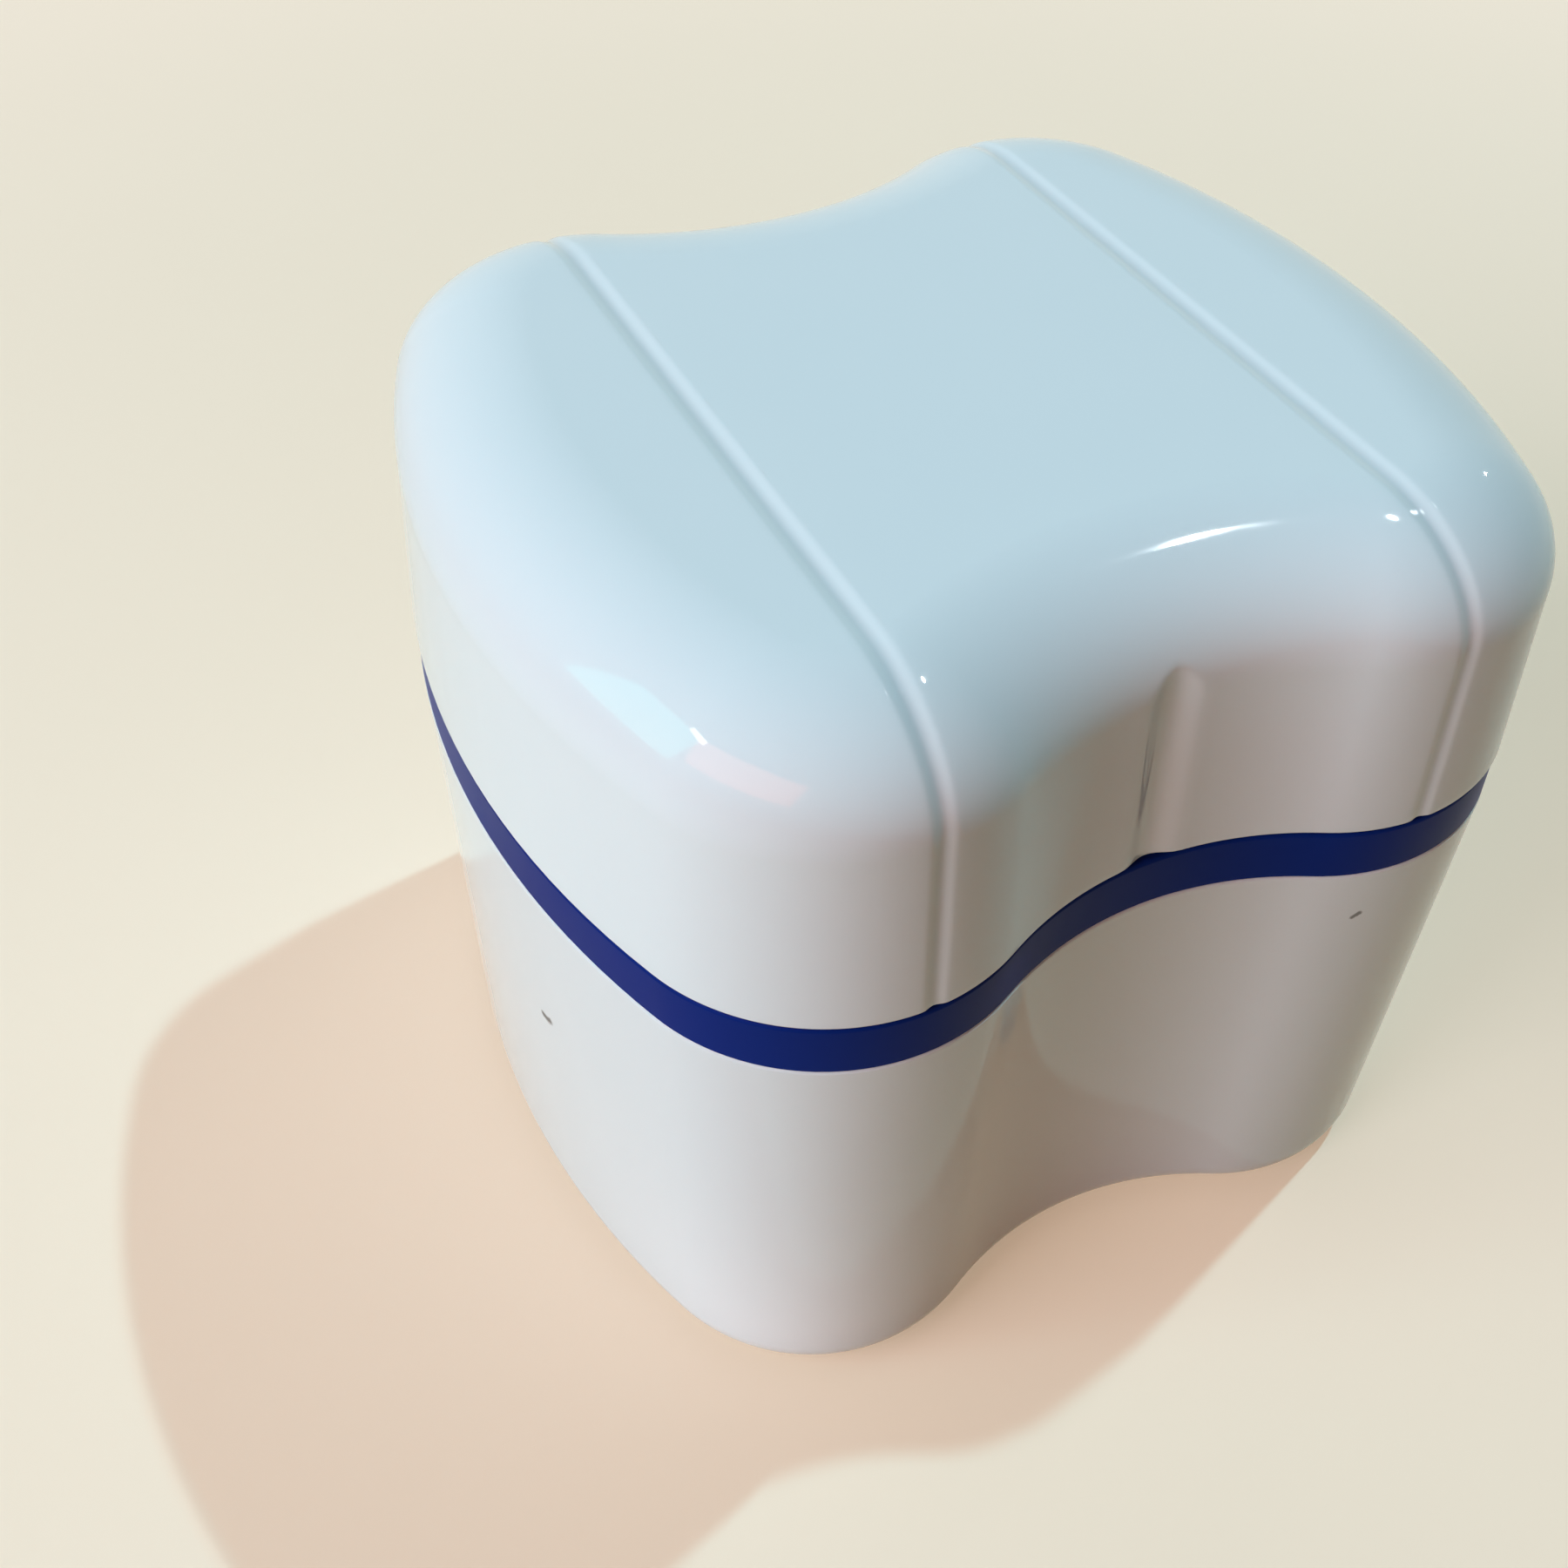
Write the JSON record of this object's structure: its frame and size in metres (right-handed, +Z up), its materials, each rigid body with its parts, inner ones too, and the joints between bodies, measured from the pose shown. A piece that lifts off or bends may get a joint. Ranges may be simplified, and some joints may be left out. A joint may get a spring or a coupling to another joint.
{
  "type": "denture case",
  "caption": "Molar-shaped soaking case: a white tub and lift-off lid with a blue rim band between them, and a perforated rinse basket with a folding bail inside.",
  "frame": {"origin": "centre of the flat face that the case stands on", "axes": "+Z up, +X along the case's width towards its right bowed side, -Y towards the front waist"},
  "size_m": [0.092, 0.0838, 0.0801],
  "materials": {
    "white_gloss": "polished moulded plastic",
    "blue_satin": "satin royal blue plastic",
    "basket_blue": "moulded blue plastic",
    "bail_white": "satin moulded plastic",
    "seal_soft": "soft milky rubber"
  },
  "bodies": {
    "tub": {"base_tub": "white_gloss", "rim_band": "blue_satin"},
    "basket": {"rinse_basket": "basket_blue"},
    "bail": {"basket_bail": "bail_white"},
    "lid": {"lid_shell": "white_gloss", "lid_seal": "seal_soft"}
  },
  "joints": [
    {"name": "basket_lift", "type": "slide", "parent": "tub", "child": "basket", "axis": [0, 0, 1], "range_m": [0, 0.05]},
    {"name": "lid_lift", "type": "slide", "parent": "basket", "child": "lid", "axis": [0, 0, 1], "range_m": [0, 0.035]},
    {"name": "bail_fold", "type": "hinge", "parent": "basket", "child": "bail", "pos_m": [0, 0, 0.051], "axis": [-1, 0, 0], "range_deg": [0, 180]}
  ]
}
